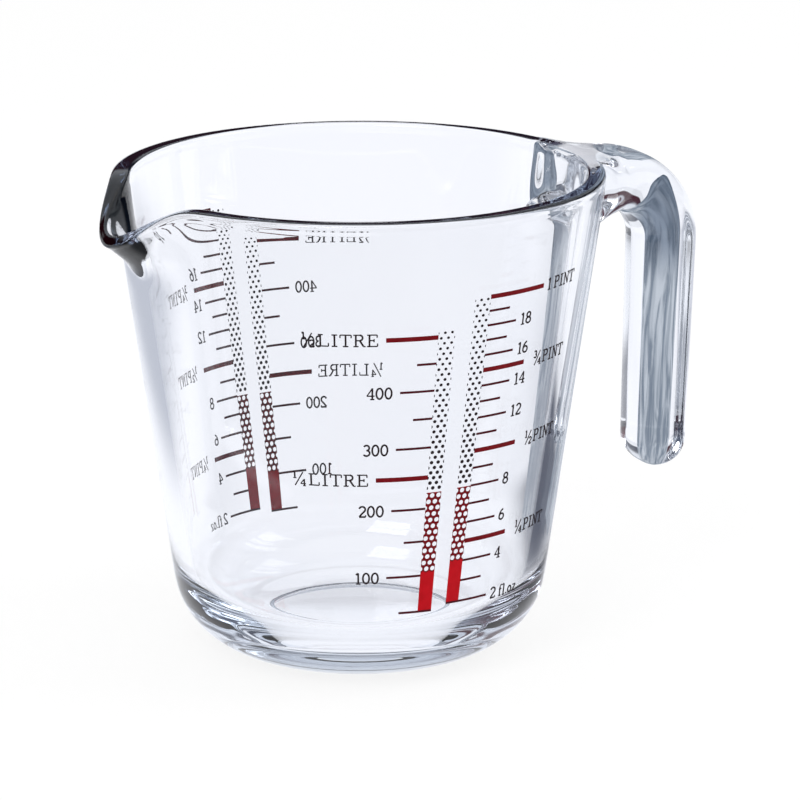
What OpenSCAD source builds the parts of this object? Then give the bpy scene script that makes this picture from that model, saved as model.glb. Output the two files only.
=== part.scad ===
// Measuring jug in clear pressed glass: a tapered vessel with a rounded rim and
// a pouring spout, an open hook handle that hangs from the rim, and a fired
// enamel scale in millilitres and fluid ounces on the front and on the back.
// Millimetres. +Z is up. The origin lies on the vessel's axis in the standing
// plane. +X points to the handle, -X to the spout and -Y to the front scale.

/* [Vessel] */
// Height from the standing plane to the top of the rim
height = 116.5; // [108:0.5:126]
// Outside diameter of the sloping wall at the height of the rim
rim_d = 118; // [112:0.5:124]
// Outside diameter that the slope would reach in the standing plane
base_d = 85.4; // [82:0.2:90]
// Thickness of the wall
wall = 4.6; // [3.8:0.1:5.2]
// Thickness of the rounded rim
rim_bead = 5.6; // [5.4:0.1:6.6]
// Outside radius of the bottom edge
corner_r = 20; // [16:0.5:22]
// Inside radius where the wall turns into the floor
inner_corner_r = 15; // [10:0.5:18]
// Height of the inside floor above the standing plane
floor_h = 9.2; // [7:0.2:11]
// Width of the flat ring that the jug stands on
ring_w = 3.3; // [2:0.1:6]
// Depth of the hollow inside the standing ring
ring_depth = 1.6; // [0.8:0.1:2.4]

/* [Spout] */
// Reach of the spout's lip beyond the slope of the wall
spout_reach = 8.2; // [5:0.2:11]
// Drop of the spout's lip below the rim
spout_drop = 8.7; // [5:0.1:10]
// Thickness of the spout's lip at its tip
lip_t = 3; // [2.4:0.1:4]
// Height of the band of wall that bends out into the spout
spout_band = 26; // [20:1:34]
// Width across the rim from one flank of the spout to the other
spout_w = 64; // [54:1:74]

/* [Handle] */
// Distance from the vessel's axis to the middle of the grip, at the bend
grip_x = 82; // [79:0.5:90]
// Thickness of the grip, measured away from the vessel
grip_t = 15; // [12:0.5:17]
// Width of the grip
grip_w = 18; // [15:0.5:22]
// Radius of the handle's middle line where it turns down
bend_r = 16; // [13:0.5:17]
// Lean of the grip towards the vessel, in degrees
grip_lean = 1.5; // [0:0.5:3]
// Height of the handle's free end above the standing plane
handle_end_h = 34; // [28:1:44]
// Drop of the handle's top below the top of the rim
handle_drop = 0.4; // [0.2:0.1:3]
// Width of the handle where it meets the wall
root_w = 34; // [28:0.5:38]
// Distance over which the root narrows to the grip's width
root_l = 18; // [14:0.5:20]

/* [Scale] */
// Thickness of the fired enamel
enamel_t = 0.1; // [0.08:0.01:0.2]
// Width of each filled column
column_w = 3.7; // [2.4:0.1:4.4]
// Clear glass between the two columns
column_gap = 4; // [2:0.1:6]
// Distance of the topmost pint mark below the top of the rim
top_mark_drop = 19.2; // [16:0.1:26]
// Lean of the scale from the wall's own line of slope, in degrees
scale_lean = 1.4; // [0:0.1:2]
// Turn of the back scale away from the point opposite the front scale, in degrees
back_scale_turn = 10.5; // [0:0.5:12]
// Thickness of an ordinary mark
mark_t = 0.55; // [0.4:0.05:0.8]
// Thickness of a main mark
main_mark_t = 1.1; // [0.8:0.05:1.4]
// Length of a main mark
main_mark_l = 12.2; // [9:0.1:14]
// Length of the topmost pint mark
top_mark_l = 16.4; // [12:0.2:18]
// Length of a numbered mark
mark_l = 8.1; // [6:0.1:9]
// Length of a metric mark without a number
metric_minor_l = 4.6; // [3:0.1:6]
// Length of a pint mark without a number
pint_minor_l = 5.8; // [3:0.1:6]

/* [Hidden] */
$fn = 96;

// Slope of the wall: radius gained per height, and its angle
slope_share = (rim_d - base_d) / 2 / height;
slope = atan(slope_share);
// The wall's thickness measured level, and halves that the section uses
wall_level = wall / cos(slope);
wall_half = wall / 2;
bead_r = rim_bead / 2;
bead_z = height - bead_r;
// Centres of the outside and inside corner circles
corner_x = outer_r(corner_r) - corner_r / cos(slope);
inner_corner_z = floor_h + inner_corner_r;
inner_corner_x = inner_r(inner_corner_z) - inner_corner_r / cos(slope);
// One overrun for every cut
overrun = 1;

// Outside, inside and middle radius of the sloping wall at a height
function outer_r(z) = base_d / 2 + slope_share * z;
function inner_r(z) = outer_r(z) - wall_level;
function middle_r(z) = outer_r(z) - wall_level / 2;

// Radius of the inside at any height above the floor, corner included
function hollow_r(z) =
    z >= inner_corner_z - inner_corner_r * sin(slope) ? inner_r(z)
    : inner_corner_x + sqrt(max(0, inner_corner_r * inner_corner_r - pow(inner_corner_z - z, 2)));

// Contents up to a height, by Simpson's rule over the level slices
slice_steps = 24;
function slice(z) = PI * pow(hollow_r(z), 2);
function sum(v, i = 0) = i < len(v) ? v[i] + sum(v, i + 1) : 0;
function contents(z) =
    let (h = (z - floor_h) / slice_steps)
    h / 6 * sum([
        for (i = [0 : slice_steps - 1])
            let (a = floor_h + i * h)
            slice(a) + 4 * slice(a + h / 2) + slice(a + h)
    ]);

// Height of the surface at a given contents, by halving the range
level_steps = 26;
function level(v, low = floor_h, high = height, n = level_steps) =
    let (middle = (low + high) / 2)
    n == 0 ? middle
    : contents(middle) < v ? level(v, middle, high, n - 1)
    : level(v, low, middle, n - 1);

// The topmost mark is one pint, which is twenty fluid ounces, and fifty millilitres are a fixed share
// of it. The sizes above give a pint its true contents, 568 ml.
pint = contents(height - top_mark_drop);
metric_marks_n = 10;
pint_marks_n = 20;
first_pint_n = 2;
fl_oz = pint / pint_marks_n;
fifty_ml_share = 50 / 568.26;
metric_step = pint * fifty_ml_share;
// The contents at which each filled column ends
metric_column_v = 4.5 * metric_step;
pint_column_v = 8 * fl_oz;

// Points on ring after ring, joined into a closed solid with flat ends
function ring_faces(rings, n) = concat(
    [[for (j = [0 : n - 1]) j]],
    [[for (j = [n - 1 : -1 : 0]) (rings - 1) * n + j]],
    [
        for (i = [0 : rings - 2])
            for (j = [0 : n - 1])
                let (a = i * n + j, b = i * n + (j + 1) % n)
                [a, a + n, b]
    ],
    [
        for (i = [0 : rings - 2])
            for (j = [0 : n - 1])
                let (a = i * n + j, b = i * n + (j + 1) % n)
                [b, a + n, b + n]
    ]
);

// Vessel

// Half section of a tapered cup: floor, rounded corner and sloping side
module cup_section(bottom_z, corner_x, corner_z, r, top_z, side_r) {
    foot = [corner_x + r * cos(slope), corner_z - r * sin(slope)];
    polygon([[0, bottom_z], [corner_x, bottom_z], [corner_x, corner_z], foot, [side_r, top_z], [0, top_z]]);
    translate([corner_x, corner_z])
        intersection() {
            circle(r);
            translate([0, -r])
                square([r, 2 * r]);
        }
}

module outer_section(top_z) {
    cup_section(0, corner_x, corner_r, corner_r, top_z, outer_r(top_z));
}

module bead_section() {
    translate([middle_r(bead_z), bead_z])
        circle(bead_r);
}

// Section of the glass from the standing ring up to the rim
module glass_section() {
    difference() {
        outer_section(bead_z);
        cup_section(floor_h, inner_corner_x, inner_corner_z, inner_corner_r, height, inner_r(height));
        translate([0, -overrun])
            square([corner_x - ring_w, ring_depth + overrun]);
    }
    bead_section();
}

// Spout: the band of wall under the rim, bent outwards and down about -X
spout_z = height - spout_band;
spout_half = asin(spout_w / rim_d);
// The spout lies a little within the faces of the wall, and tapers into the wall beside and below it
seam = wall / 100;
seam_turn = 0.1;
lap_inset = wall / 6;
lap_turn = 2;
spout_foot_z = spout_z - overrun;
spout_rings = 37;
spout_wall_steps = 10;
bead_steps = 16;
// Exponents that set how sharply the lip narrows in plan, dips and curls out
lip_plan_share = 5.4;
lip_dip_share = 5;
lip_curl_share = 3.4;

// How far the wall at an angle from -X has turned into the lip, from 0 to 1
function lip(angle, power) = pow(max(0, 1 - pow(angle / spout_half, 2)), power);

// The rim and the wall below it thin towards the tip, in the same proportion
function thinning(angle) = 1 + (lip_t / rim_bead - 1) * lip(angle, lip_dip_share);
function inset(angle) = abs(angle) > spout_half + seam_turn ? lap_inset : seam;
function half_at(angle, u) = wall_half * (1 + (thinning(angle) - 1) * u) - inset(angle);
function bead_at(angle) = bead_r * thinning(angle) - inset(angle);
// Angle of the rim's circle that lies inside the wall
bead_hidden = acos(wall_half / bead_r);
bead_seat = sqrt(bead_r * bead_r - wall_half * wall_half);

// Middle line of the band at one angle, from its foot (u = 0) to the rim (u = 1)
function band_point(angle, u) =
    let (z = spout_z + u * (bead_z - spout_z - spout_drop * lip(angle, lip_dip_share)))
    [middle_r(z) + spout_reach * lip(angle, lip_plan_share) * pow(u, lip_curl_share), z];

// Unit vector along the middle line, towards the rim
nudge_share = 0.001;
function band_way(angle, u) =
    let (d = band_point(angle, u) - band_point(angle, u - nudge_share))
    d / norm(d);

function outwards(way) = [way[1], -way[0]];

// Closed outline of the band at one angle: up the outside, round the rim, down the inside
function band_outline(angle) =
    let (
        end_share = 1 - bead_seat / (bead_z - spout_z),
        steps = [for (i = [1 : spout_wall_steps]) i / spout_wall_steps * end_share],
        foot_in = inset(angle) + lap_inset,
        rim = band_point(angle, 1),
        rim_way = band_way(angle, 1),
        rim_out = outwards(rim_way)
    )
    concat(
        [[outer_r(spout_foot_z) - foot_in, spout_foot_z], [outer_r(spout_z) - inset(angle), spout_z]],
        [for (u = steps) band_point(angle, u) + half_at(angle, u) * outwards(band_way(angle, u))],
        [
            for (i = [1 : bead_steps - 1])
                let (a = -bead_hidden + i / bead_steps * (180 + 2 * bead_hidden))
                rim + bead_at(angle) * (cos(a) * rim_out + sin(a) * rim_way)
        ],
        [
            for (i = [spout_wall_steps - 1 : -1 : 0])
                band_point(angle, steps[i]) - half_at(angle, steps[i]) * outwards(band_way(angle, steps[i]))
        ],
        [[inner_r(spout_z) + inset(angle), spout_z], [inner_r(spout_foot_z) + foot_in, spout_foot_z]]
    );

// Rings lie closer together near the tip, where the lip turns most
even_share = 0.55;
function spout_angle(i) =
    let (t = 2 * (i - 1) / (spout_rings - 3) - 1)
    abs(t) > 1 ? sign(t) * (spout_half + lap_turn)
    : spout_half * t * (even_share + (1 - even_share) * abs(t));

module spout() {
    outlines = [for (i = [0 : spout_rings - 1]) band_outline(spout_angle(i))];
    points = [
        for (i = [0 : spout_rings - 1])
            for (p = outlines[i])
                [-p[0] * cos(spout_angle(i)), p[0] * sin(spout_angle(i)), p[1]]
    ];
    polyhedron(points, ring_faces(spout_rings, len(outlines[0])));
}

module vessel() {
    color([0.86, 0.9, 0.95, 0.4]) {
        difference() {
            rotate_extrude()
                glass_section();
            rotate_extrude(angle = 2 * (spout_half - seam_turn), start = 180 - spout_half + seam_turn)
                translate([base_d / 2 - corner_r, spout_z + seam])
                    square([rim_d / 2, spout_band + overrun]);
        }
        spout();
    }
}

// Handle: round-cornered sections along a line that leaves the wall, bends and runs down

handle_top = height - handle_drop;
arm_z = handle_top - grip_t / 2;
bend_x = grip_x - bend_r;
bend_z = arm_z - bend_r;
root_x = inner_r(arm_z);
bend_sweep = 90 + grip_lean;
grip_foot = [bend_x + bend_r * cos(grip_lean), bend_z - bend_r * sin(grip_lean)];
grip_way = [-sin(grip_lean), -cos(grip_lean)];
grip_l = (grip_foot[1] - handle_end_h) / cos(grip_lean);
dome_l = grip_t / 2;
arm_l = bend_x - root_x;
bend_l = bend_r * bend_sweep * PI / 180;
// The grip's free end is slimmer than its top
end_w_share = 0.92;
end_t_share = 0.92;
// Exponent of the rounded section at the grip and at the root: 2 is an ellipse, more is squarer
grip_section_share = 2.9;
root_section_share = 6;
// Exponent of the root's flanks in plan: 1 is a straight taper, more is hollower
root_flank_share = 1.3;
section_steps = 36;
arm_steps = 12;
bend_steps = 12;
grip_steps = 8;
dome_steps = 7;

// Distances along the middle line at which the sections stand
function handle_stations() = concat(
    [for (i = [0 : arm_steps - 1]) i / arm_steps * arm_l],
    [for (i = [0 : bend_steps - 1]) arm_l + i / bend_steps * bend_l],
    [for (i = [0 : grip_steps - 1]) arm_l + bend_l + i / grip_steps * (grip_l - dome_l)],
    [for (i = [0 : dome_steps - 1]) arm_l + bend_l + grip_l - dome_l * (1 - sin(i / dome_steps * 90))]
);

// Middle line: place and direction in the XZ plane at a distance along it
function handle_point(s) =
    s < arm_l ? [root_x + s, arm_z]
    : s < arm_l + bend_l ?
        let (a = 90 - (s - arm_l) / bend_r * 180 / PI)
        [bend_x + bend_r * cos(a), bend_z + bend_r * sin(a)]
    : grip_foot + (s - arm_l - bend_l) * grip_way;

function handle_out(s) =
    s < arm_l ? [0, 1]
    : s < arm_l + bend_l ?
        let (a = 90 - (s - arm_l) / bend_r * 180 / PI)
        [cos(a), sin(a)]
    : [-grip_way[1], grip_way[0]];

// How far the section has gone from the grip's top to its end, and into the end's dome
function grip_share(s) = max(0, min(1, (s - arm_l - bend_l) / grip_l));
function dome_share(s) =
    let (q = max(0, 1 - (arm_l + bend_l + grip_l - s) / dome_l))
    sqrt(max(0, 1 - q * q));

// The root narrows from the wall with a flank that curves into the grip
function root_share(s) = pow(max(0, 1 - (s - wall_level) / root_l), root_flank_share);

function handle_w(s) =
    (grip_w + (root_w - grip_w) * root_share(s)) * (1 + (end_w_share - 1) * grip_share(s));

function handle_t(s) = grip_t * (1 + (end_t_share - 1) * grip_share(s));

function section_share(s) =
    grip_section_share + (root_section_share - grip_section_share) * (s < arm_l ? 1 - s / arm_l : 0);

function rounded(c, s) = sign(c) * pow(abs(c), 2 / section_share(s));

module handle_loft() {
    stations = handle_stations();
    points = [
        for (s = stations)
            for (j = [0 : section_steps - 1])
                let (
                    a = 360 * j / section_steps,
                    up = handle_t(s) / 2 * dome_share(s) * rounded(sin(a), s),
                    p = handle_point(s) + up * handle_out(s),
                    narrow = dome_share(s) * handle_t(s) / 2 + handle_w(s) / 2 - handle_t(s) / 2
                )
                [p[0], narrow * rounded(cos(a), s), p[1]]
    ];
    polyhedron(points, ring_faces(len(stations), section_steps));
}

module handle() {
    color([0.8, 0.86, 0.92, 0.5])
        difference() {
            handle_loft();
            rotate_extrude() {
                outer_section(bead_z);
                bead_section();
                square([middle_r(bead_z), height]);
            }
        }
}

// Scale: thin enamel on the cone of the wall, at heights that the contents give

// Angle at the vessel's axis of a length along the wall at a height
function turn(l, z) = l / outer_r(z) * 180 / PI;

scale_middle_z = level(metric_step * metric_marks_n / 2);
column_near = turn(column_gap / 2, scale_middle_z);
column_far = turn(column_gap / 2 + column_w, scale_middle_z);
front_turn = -90;
back_turn = 90 + back_scale_turn;

// Angle by which the leaning scale has moved aside at a height
function lean(z) = turn((z - scale_middle_z) * tan(scale_lean), z);

// A patch of enamel between two heights and two angles
module patch(low_z, high_z, from, to) {
    rotate_extrude(angle = to - from, start = from)
        polygon([
            [outer_r(low_z), low_z],
            [outer_r(low_z) + enamel_t, low_z],
            [outer_r(high_z) + enamel_t, high_z],
            [outer_r(high_z), high_z]
        ]);
}

// A mark runs away from its column, to the side that the sign names
module mark(v, l, t, side, facing, near = column_far) {
    z = level(v);
    ends = [side * near, side * (column_far + turn(l, z))];
    middle = facing + lean(z);
    patch(z - t / 2, z + t / 2, middle + min(ends), middle + max(ends));
}

// A column is a leaning strip, cut from a wider patch
module column(low_v, high_v, side, facing) {
    low_z = level(low_v) + mark_t / 2;
    high_z = level(high_v);
    across = [for (z = [low_z, high_z]) [
        outer_r(z) * sin(lean(z) + side * column_near),
        outer_r(z) * sin(lean(z) + side * column_far)
    ]];
    rotate(facing)
        intersection() {
            patch(low_z, high_z, -2 * column_far, 2 * column_far);
            rotate([90, 0, 90])
                linear_extrude(rim_d)
                    polygon([
                        [across[0][0], low_z - overrun],
                        [across[0][1], low_z - overrun],
                        [across[0][1], low_z],
                        [across[1][1], high_z],
                        [across[1][1], high_z + overrun],
                        [across[1][0], high_z + overrun],
                        [across[1][0], high_z],
                        [across[0][0], low_z]
                    ]);
        }
}

// The way in which each scale's marks turn away from the middle line
metric_turn = -1;
pint_turn = 1;

module metric_column(facing) {
    column(metric_step, metric_column_v, metric_turn, facing);
}

module pint_column(facing) {
    column(first_pint_n * fl_oz, pint_column_v, pint_turn, facing);
}

module metric_marks(facing) {
    mark(metric_step, metric_minor_l, mark_t, metric_turn, facing, near = column_near);
    for (i = [2 : metric_marks_n])
        mark(
            i * metric_step,
            i % 5 == 0 ? main_mark_l : i % 2 == 0 ? mark_l : metric_minor_l,
            i % 5 == 0 ? main_mark_t : mark_t,
            metric_turn, facing
        );
}

module pint_marks(facing) {
    mark(first_pint_n * fl_oz, mark_l, mark_t, pint_turn, facing, near = column_near);
    for (i = [first_pint_n + 1 : pint_marks_n])
        mark(
            i * fl_oz,
            i == pint_marks_n ? top_mark_l : i % 5 == 0 ? main_mark_l : i % 2 == 0 ? mark_l : pint_minor_l,
            i % 5 == 0 ? main_mark_t : mark_t,
            pint_turn, facing
        );
}

module front_metric_column() {
    color([0.72, 0.06, 0.1])
        metric_column(front_turn);
}

module front_metric_marks() {
    color([0.52, 0.05, 0.08])
        metric_marks(front_turn);
}

module front_pint_column() {
    color([0.72, 0.06, 0.1])
        pint_column(front_turn);
}

module front_pint_marks() {
    color([0.52, 0.05, 0.08])
        pint_marks(front_turn);
}

module back_metric_column() {
    color([0.72, 0.06, 0.1])
        metric_column(back_turn);
}

module back_metric_marks() {
    color([0.52, 0.05, 0.08])
        metric_marks(back_turn);
}

module back_pint_column() {
    color([0.72, 0.06, 0.1])
        pint_column(back_turn);
}

module back_pint_marks() {
    color([0.52, 0.05, 0.08])
        pint_marks(back_turn);
}

vessel();
handle();
front_metric_column();
front_metric_marks();
front_pint_column();
front_pint_marks();
back_metric_column();
back_metric_marks();
back_pint_column();
back_pint_marks();
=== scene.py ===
"""Measuring jug in clear pressed glass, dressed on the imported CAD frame.

The vessel and its hook handle are one smooth glass surface, as they come from the mould.
The scales are thin fired enamel on the wall. Sizes are in millimetres, as in the part's
source, and go into the meshes in metres.
"""

import math

import bpy
import numpy as np
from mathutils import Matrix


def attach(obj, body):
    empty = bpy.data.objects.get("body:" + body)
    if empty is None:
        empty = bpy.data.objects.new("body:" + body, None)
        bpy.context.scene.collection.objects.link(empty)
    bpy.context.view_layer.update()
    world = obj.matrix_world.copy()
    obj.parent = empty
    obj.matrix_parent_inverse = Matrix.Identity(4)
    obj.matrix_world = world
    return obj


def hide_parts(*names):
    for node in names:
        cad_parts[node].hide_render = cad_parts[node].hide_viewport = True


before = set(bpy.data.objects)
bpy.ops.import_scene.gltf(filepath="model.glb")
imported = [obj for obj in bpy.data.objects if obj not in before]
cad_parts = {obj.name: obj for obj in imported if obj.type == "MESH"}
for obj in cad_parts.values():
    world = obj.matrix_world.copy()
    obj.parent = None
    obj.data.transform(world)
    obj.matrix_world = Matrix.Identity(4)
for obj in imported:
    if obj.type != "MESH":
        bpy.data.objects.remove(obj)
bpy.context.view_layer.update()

MM = 0.001

# Vessel
height = 116.5
rim_d = 118.0
base_d = 85.4
wall = 4.6
rim_bead = 4.72
rim_top_power = 6.0
corner_r = 20.0
inner_corner_r = 15.0
floor_h = 9.2
ring_w = 3.3
ring_depth = 1.6

# Spout
spout_reach = 7.86
spout_drop = 9.14
lip_t = 3.0
spout_band = 26.0
spout_w = 64.0
lip_plan_power = 5.4
lip_dip_power = 5.0
lip_curl_power = 3.4
lip_taper_power = 9.0

# Handle
grip_x = 82.0
grip_t = 15.0
grip_w = 18.0
bend_r = 16.0
grip_lean = math.radians(1.5)
handle_end_h = 34.0
handle_drop = 0.4
root_w = 34.0
root_l = 18.0
root_flank_power = 1.3
grip_section_power = 2.9
root_section_power = 6.0
end_share = 0.92
# Half the turn of the wall that the root takes up, in degrees, the height at which its fillet
# starts, and the distance from the wall's inside face at which the fillet has run out
root_turn = 17
root_fillet_z = 97.6
root_fillet_l = 9.6

# Scale
top_mark_drop = 19.2
column_w = 3.7
column_gap = 4.0
scale_lean = math.radians(1.4)
back_scale_turn = math.radians(10.5)
mark_t = 0.55
main_mark_t = 1.1
main_mark_l = 12.2
top_mark_l = 16.4
mark_l = 8.1
metric_minor_l = 4.6
pint_minor_l = 5.8
# Heights of the enamel's outer and inner side above the glass
enamel_rise = 0.07
enamel_gap = 0.01
# A pint in millilitres and in fluid ounces, a step of the metric scale, and the steps between main marks
pint_ml = 568.26
pint_fl_oz = 20
metric_step_ml = 50
main_every = 5
# Holes and dots of the columns: their pitch and rows, sizes, the place of a row's first and their number
hole_pitch = 1.6
hole_row = 1.54
hole_r = 0.57
dot_row = 1.27
dot_r_low = 0.47
dot_r_high = 0.32
dot_overhang = 0.25
lattice_start = -0.15
lattice_holes = 4
# Lettering. A fraction has small figures with thinner strokes. Its measures are in cap heights: the
# place of each figure, the slanting stroke and the whole width
cap_h = 2.75
stroke_t = 0.43
thin_stroke_t = 0.3
label_width_share = 0.98
litre_width_share = 1.12
fraction_share = 0.62
fraction_stroke_share = 0.85
fraction_places = ((0.0, 0.55), (0.62, -0.12))
fraction_slash = ((0.22, -0.12), (0.86, 1.12))
fraction_w = 1.22

# Fineness: points along the glass section from the foot to the rim and down the inside, along the
# handle, and in the print
foot_pole_r = 2.0
hollow_n = 8
step_n = 7
ring_n = 3
corner_n = 28
side_n = 30
band_n = 24
rim_n = 41
inner_side_n = 28
inner_corner_n = 22
floor_n = 12
floor_pole_r = 1.5
polish_passes = 3
root_rim_rows = 14
fillet_n = 17
bend_n = 36
grip_n = 24
dome_n = 18
fill_n = 6000
mark_n = 25
cell_parts = 4
dot_sides = 10
# Places that agree to these decimals are one point, and triangles under the least area are left out
place_decimals = 4
least_area = 1e-5

# Values that follow from the sizes
slope_share = (rim_d - base_d) / 2 / height
slope = math.atan(slope_share)
wall_level = wall / math.cos(slope)
wall_half = wall / 2
bead_r = rim_bead / 2
bead_z = height - bead_r
spout_z = height - spout_band
spout_half = math.asin(spout_w / rim_d)
bead_hidden = math.acos(wall_half / bead_r)
bead_seat = math.sqrt(bead_r ** 2 - wall_half ** 2)


def outer_r(z):
    """Outside radius of the sloping wall at a height: the base radius plus slope times height."""
    return base_d / 2 + slope_share * z


def inner_r(z):
    """Inside radius: the outside radius less the wall measured level."""
    return outer_r(z) - wall_level


corner_x = outer_r(corner_r) - corner_r / math.cos(slope)
inner_corner_z = floor_h + inner_corner_r
inner_corner_x = inner_r(inner_corner_z) - inner_corner_r / math.cos(slope)


# Mesh helpers


def make_piece(name, points, faces, materials, face_material=None):
    """A mesh object at the origin from points in millimetres and lists of corner numbers."""
    mesh = bpy.data.meshes.new(name)
    mesh.from_pydata((points * MM).tolist(), [], faces)
    for material in materials:
        mesh.materials.append(material)
    if face_material is not None:
        mesh.polygons.foreach_set("material_index", np.asarray(face_material, np.int32))
    mesh.update()
    piece = bpy.data.objects.new(name, mesh)
    bpy.context.scene.collection.objects.link(piece)
    return piece


def arc(cx, cz, r, start, end, n):
    """Points (r, z) of a circle about (cx, cz) from one angle to another, both in degrees."""
    a = np.radians(np.linspace(start, end, n))
    return np.stack([cx + r * np.cos(a), cz + r * np.sin(a)], axis=-1)


def line(a, b, n):
    """n even points from a to b, without b."""
    t = np.arange(n)[:, None] / n
    return np.asarray(a, float) * (1 - t) + np.asarray(b, float) * t


# Glass


def lip(angle, power):
    """How far the wall at an angle from the spout has turned into its lip: one less the square
    of the angle over the spout's half width, raised to a power, and nothing beyond the flanks."""
    return np.maximum(0, 1 - (angle / spout_half) ** 2) ** power


def band_middle(angle, u):
    """Middle line of the wall under the rim. It climbs evenly from the band's foot to the rim, which
    dips at the spout, and is pushed out by the reach times the lip times a power of the climb."""
    z = spout_z + u * (bead_z - spout_z - spout_drop * lip(angle, lip_dip_power))
    r = outer_r(z) - wall_level / 2 + spout_reach * lip(angle, lip_plan_power) * np.abs(u) ** lip_curl_power
    return np.stack([r, z], axis=-1)


def band_frame(angle, u):
    """Point of the band's middle line with the unit vectors along it and outwards from it."""
    nudge = 0.001
    here = band_middle(angle, u)
    way = here - band_middle(angle, u - nudge)
    way /= np.linalg.norm(way, axis=-1, keepdims=True)
    out = np.stack([way[..., 1], -way[..., 0]], axis=-1)
    return here, way, out


def glass_section(turn):
    """Closed half section of the glass at each turn about the axis: hollow foot, standing ring,
    rounded corner, wall, band and rim outside, then down the inside to the middle of the floor.
    Returns the points and the rows at which the outer band and the rim start."""
    angle = np.abs(turn) - math.pi
    n = len(turn)
    ring_r = corner_x - ring_w
    soft = ring_depth / 2
    foot = np.concatenate([
        line((foot_pole_r, ring_depth), (ring_r - soft, ring_depth), hollow_n),
        arc(ring_r - soft, ring_depth - soft, soft, 90, 0, step_n),
        arc(ring_r + soft, soft, soft, 180, 270, step_n)[1:],
        line((ring_r + soft, 0), (corner_x, 0), ring_n)[1:],
        arc(corner_x, corner_r, corner_r, -90, -math.degrees(slope), corner_n),
    ])
    side = line(foot[-1], (outer_r(spout_z), spout_z), side_n)[1:]
    below = np.concatenate([foot, side])
    inner_start = (inner_r(spout_z), spout_z)
    inner_slope = -math.degrees(slope)
    inner_arc = arc(inner_corner_x, inner_corner_z, inner_corner_r, inner_slope, -90, inner_corner_n)
    inside = np.concatenate([
        line(inner_start, inner_arc[0], inner_side_n)[1:],
        inner_arc,
        line((inner_corner_x, floor_h), (floor_pole_r, floor_h), floor_n)[1:],
        [[floor_pole_r, floor_h]],
    ])
    thin = 1 + (lip_t / rim_bead - 1) * lip(angle, lip_dip_power)
    u = np.linspace(0, 1 - bead_seat / (bead_z - spout_z), band_n)
    angles = np.broadcast_to(angle[:, None], (n, len(u)))
    here, _, out = band_frame(angles, np.broadcast_to(u, (n, len(u))))
    half = wall_half * (1 + (thin[:, None] - 1) * u ** lip_taper_power)
    outside_band = here + half[..., None] * out
    inside_band = (here - half[..., None] * out)[:, ::-1]
    # The rim's top is nearly flat and level, and follows the wall only where the lip curls out
    rim, rim_way, _ = band_frame(angle, np.ones(n))
    curl = lip(angle, 1)[:, None]
    rim_way = curl * rim_way + (1 - curl) * np.array([0, 1])
    rim_way /= np.linalg.norm(rim_way, axis=-1, keepdims=True)
    rim_out = np.stack([rim_way[:, 1], -rim_way[:, 0]], axis=-1)
    a = np.linspace(-bead_hidden, math.pi + bead_hidden, rim_n)[1:-1]
    power = np.where(np.sin(a) > 0, rim_top_power, 2)
    reach = (np.abs(np.cos(a)) ** power + np.abs(np.sin(a)) ** power) ** (-1 / power)
    across = reach * np.cos(a)
    upward = reach * np.sin(a)
    around = across[None, :, None] * rim_out[:, None] + upward[None, :, None] * rim_way[:, None]
    bead = rim[:, None] + (bead_r * thin)[:, None, None] * around
    section = np.concatenate([
        np.broadcast_to(below, (n,) + below.shape),
        outside_band,
        bead,
        inside_band,
        np.broadcast_to(inside, (n,) + inside.shape),
    ], axis=1)
    # Passes of a running mean round every edge off, as fire polishing does
    for _ in range(polish_passes):
        section[:, 1:-1] = (section[:, :-2] + 2 * section[:, 1:-1] + section[:, 2:]) / 4
    return section, len(below), len(below) + len(u)


handle_top = height - handle_drop
arm_z = handle_top - grip_t / 2
bend_x = grip_x - bend_r
bend_z = arm_z - bend_r
root_x = inner_r(arm_z)
arm_l = bend_x - root_x
bend_l = bend_r * (math.pi / 2 + grip_lean)
grip_foot = np.array([bend_x + bend_r * math.cos(grip_lean), bend_z - bend_r * math.sin(grip_lean)])
grip_way = np.array([-math.sin(grip_lean), -math.cos(grip_lean)])
grip_l = (grip_foot[1] - handle_end_h) / math.cos(grip_lean)
dome_l = grip_t / 2
handle_l = arm_l + bend_l + grip_l


def handle_sections(s, p, q):
    """Points of the handle at distances s along its middle line, for ring places (p, q) on a square.
    The middle line is an arm, a quarter bend and a straight grip. A section is a superellipse: the ray
    through (p, q) meets it at one over the sum of the powers of its cosine and sine."""
    s = s[:, None]
    turned = np.clip((s - arm_l) / bend_r, 0, bend_l / bend_r)
    a = math.pi / 2 - turned
    down = np.maximum(0, s - arm_l - bend_l)
    x = np.where(s < arm_l, root_x + s, bend_x + bend_r * np.cos(a) + down * grip_way[0])
    z = np.where(s < arm_l, arm_z, bend_z + bend_r * np.sin(a) + down * grip_way[1])
    out_x = np.cos(a)
    out_z = np.sin(a)
    grip_share = np.clip(down / grip_l, 0, 1)
    into_dome = np.maximum(0, 1 - (handle_l - s) / dome_l)
    dome = np.sqrt(np.maximum(0, 1 - into_dome ** 2))
    flank = np.maximum(0, 1 - (s - wall_level) / root_l) ** root_flank_power
    w = (grip_w + (root_w - grip_w) * flank) * (1 + (end_share - 1) * grip_share)
    t = grip_t * (1 + (end_share - 1) * grip_share)
    squareness = np.clip(1 - s / arm_l, 0, 1)
    power = grip_section_power + (root_section_power - grip_section_power) * squareness
    ray = np.arctan2(q, p)[None, :]
    c = np.cos(ray)
    d = np.sin(ray)
    reach = (np.abs(c) ** power + np.abs(d) ** power) ** (-1 / power)
    up = t / 2 * dome * reach * d
    across = (dome * t / 2 + (w - t) / 2) * reach * c
    return np.stack([x + up * out_x, across, z + up * out_z], axis=-1)


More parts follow.
